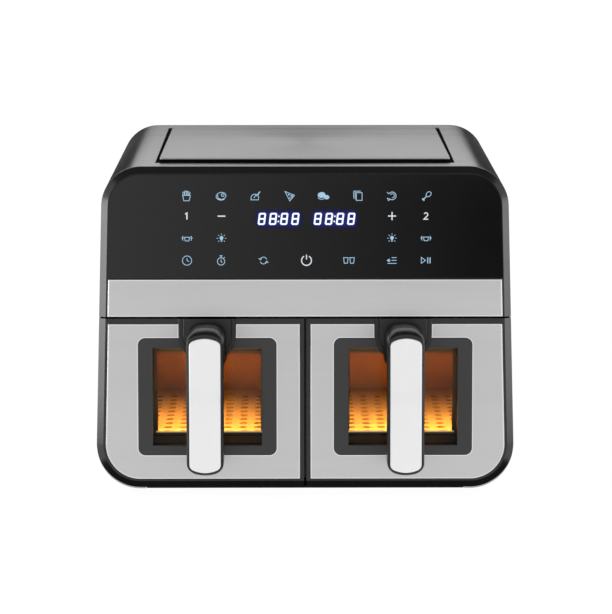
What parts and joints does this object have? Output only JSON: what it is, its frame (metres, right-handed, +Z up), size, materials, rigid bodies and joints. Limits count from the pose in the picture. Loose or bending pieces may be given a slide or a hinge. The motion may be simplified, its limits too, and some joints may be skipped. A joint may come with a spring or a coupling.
{
  "type": "dual drawer air fryer",
  "caption": "Box-shaped air fryer with a touch panel over side-by-side windowed drawers, each on a slide with a crisper plate and a hanging bar handle.",
  "frame": {"origin": "middle of the footprint's bounding box, on the surface it stands on", "axes": "+X to the user's right as they face it, -Y towards the user, +Z up"},
  "size_m": [0.3936, 0.3928, 0.3144],
  "materials": {
    "metallic_housing": "fine brushed metallic grey",
    "metallic_top": "fine brushed metallic grey, raised plate",
    "black_frame": "satin black moulded frame",
    "black_plastic": "matt black moulded",
    "panel_black_glass": "polished black touch panel",
    "brushed_plate": "fine vertical and horizontal brushing",
    "border_grey": "dark grey moulded window border",
    "window_glass": "clear tempered glass",
    "handle_grip": "satin dark grey grip",
    "handle_insert": "satin light metal insert",
    "coated_metal": "black non-stick coating",
    "galvanised": "plain zinc-coated sheet",
    "heater_steel": "heat-tinted steel tube",
    "motor_steel": "laminated core and can",
    "fan_aluminium": "pressed sheet",
    "board_green": "printed board with parts",
    "digit_white": "lit digit block, white with a blue glow",
    "lamp_glass": "warm chamber lamp",
    "spring_steel": "bright wire spring",
    "sensor_steel": "bright stainless sleeve",
    "foot_rubber": "matt black rubber",
    "silicone": "dark grey silicone",
    "screw_steel": "blackened screw"
  },
  "bodies": {
    "housing": {"outer_shell": "metallic_housing", "top_plate": "metallic_top", "top_plate_carrier": "black_plastic", "base_pan": "black_plastic", "rear_cover": "black_plastic", "front_frame": "black_frame", "panel_glass": "panel_black_glass", "trim_strip": "brushed_plate", "display_board": "board_green", "digit_displays": "digit_white", "touch_springs": "spring_steel", "chassis_deck": "galvanised", "left_chamber": "galvanised", "right_chamber": "galvanised", "left_heater": "heater_steel", "right_heater": "heater_steel", "left_heater_guard": "spring_steel", "right_heater_guard": "spring_steel", "left_heat_reflector": "galvanised", "right_heat_reflector": "galvanised", "left_motor": "motor_steel", "right_motor": "motor_steel", "power_board": "board_green", "chamber_lamps": "lamp_glass", "temperature_sensors": "sensor_steel", "thermal_fuses": "sensor_steel", "drawer_switches": "black_plastic", "feet": "foot_rubber", "housing_screws": "screw_steel", "cord_gland": "black_plastic"},
    "left_drawer": {"left_drawer_frame": "black_frame", "left_face_plate": "brushed_plate", "left_window_border": "border_grey", "left_window_glass": "window_glass", "left_inner_glass": "window_glass", "left_handle_collar": "black_frame", "left_handle": "handle_grip", "left_handle_insert": "handle_insert", "left_basket": "coated_metal", "left_back_cover": "black_plastic"},
    "left_crisper": {"left_crisper_plate": "coated_metal", "left_crisper_feet": "silicone"},
    "left_fan": {"left_convection_fan": "fan_aluminium", "left_cooling_fan": "fan_aluminium", "left_fan_shaft": "spring_steel"},
    "right_drawer": {"right_drawer_frame": "black_frame", "right_face_plate": "brushed_plate", "right_window_border": "border_grey", "right_window_glass": "window_glass", "right_inner_glass": "window_glass", "right_handle_collar": "black_frame", "right_handle": "handle_grip", "right_handle_insert": "handle_insert", "right_basket": "coated_metal", "right_back_cover": "black_plastic"},
    "right_crisper": {"right_crisper_plate": "coated_metal", "right_crisper_feet": "silicone"},
    "right_fan": {"right_convection_fan": "fan_aluminium", "right_cooling_fan": "fan_aluminium", "right_fan_shaft": "spring_steel"}
  },
  "joints": [
    {"name": "left_drawer_slide", "type": "slide", "parent": "housing", "child": "left_drawer", "axis": [0, -1, 0], "range_m": [0, 0.24]},
    {"name": "left_crisper_lift", "type": "slide", "parent": "left_drawer", "child": "left_crisper", "axis": [0, 0, 1], "range_m": [0, 0.09]},
    {"name": "left_fan_spin", "type": "hinge", "parent": "housing", "child": "left_fan", "pos_m": [-0.0934, 0.0381, 0.19], "axis": [0, 0, 1], "continuous": true},
    {"name": "right_drawer_slide", "type": "slide", "parent": "housing", "child": "right_drawer", "axis": [0, -1, 0], "range_m": [0, 0.24]},
    {"name": "right_crisper_lift", "type": "slide", "parent": "right_drawer", "child": "right_crisper", "axis": [0, 0, 1], "range_m": [0, 0.09]},
    {"name": "right_fan_spin", "type": "hinge", "parent": "housing", "child": "right_fan", "pos_m": [0.0934, 0.0381, 0.19], "axis": [0, 0, 1], "continuous": true}
  ]
}
